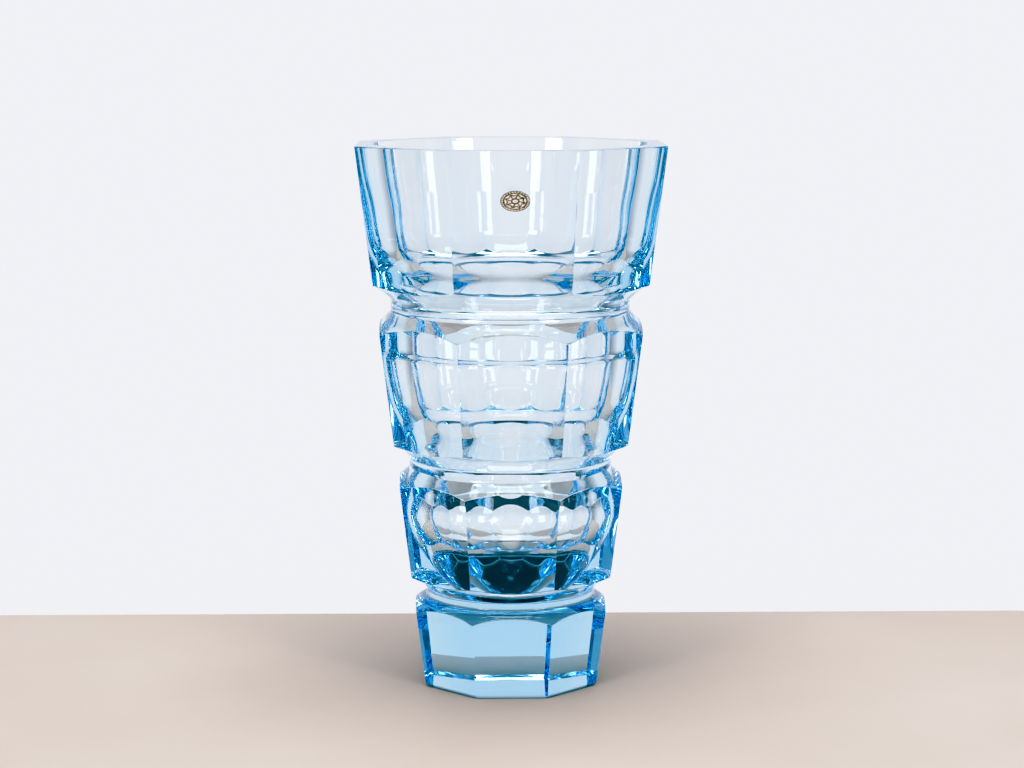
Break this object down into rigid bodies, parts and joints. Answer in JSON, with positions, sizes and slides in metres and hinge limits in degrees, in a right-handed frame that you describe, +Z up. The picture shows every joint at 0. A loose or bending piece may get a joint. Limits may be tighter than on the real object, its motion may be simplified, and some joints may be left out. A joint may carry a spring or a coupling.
{
  "type": "vase",
  "caption": "Tall faceted crystal vase that widens upwards in stepped tiers divided by turned grooves, with a solid foot and a small foil seal near the rim.",
  "frame": {"origin": "centre of the foot's flat underside, on the surface that the vase stands on", "axes": "+Z up along the vase's axis towards the mouth, -Y out of the facet that carries the seal, +X to the right when that facet is faced"},
  "size_m": [0.157, 0.157, 0.28],
  "materials": {
    "crystal": "cut and polished clear blue lead crystal",
    "seal_foil": "embossed champagne-silver foil"
  },
  "bodies": {
    "root": {"vase_body": "crystal", "foil_seal": "seal_foil"}
  },
  "joints": []
}
